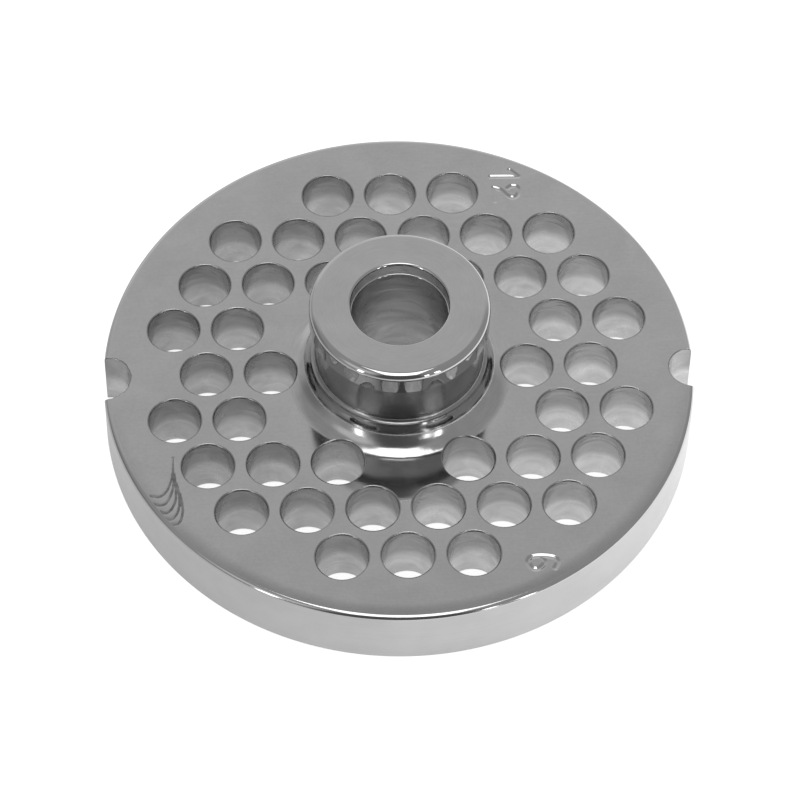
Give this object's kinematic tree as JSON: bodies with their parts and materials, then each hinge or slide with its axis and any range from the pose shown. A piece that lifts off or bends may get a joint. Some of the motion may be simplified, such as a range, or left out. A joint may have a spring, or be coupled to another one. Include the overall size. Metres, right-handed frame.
{
  "type": "meat grinder plate",
  "caption": "Round meat grinder plate with a lattice of straight mincing holes, a raised spool-shaped hub round its bore, and a half-round key notch on each side of the rim.",
  "frame": {"origin": "centre of the flat knife face, on the bore axis", "axes": "+Z along the bore axis from the knife face to the hub; +X along the rows of mincing holes, through the key notches"},
  "size_m": [0.0699, 0.07, 0.0211],
  "materials": {
    "plate": "polished"
  },
  "bodies": {
    "root": {"plate": "plate"}
  },
  "joints": []
}
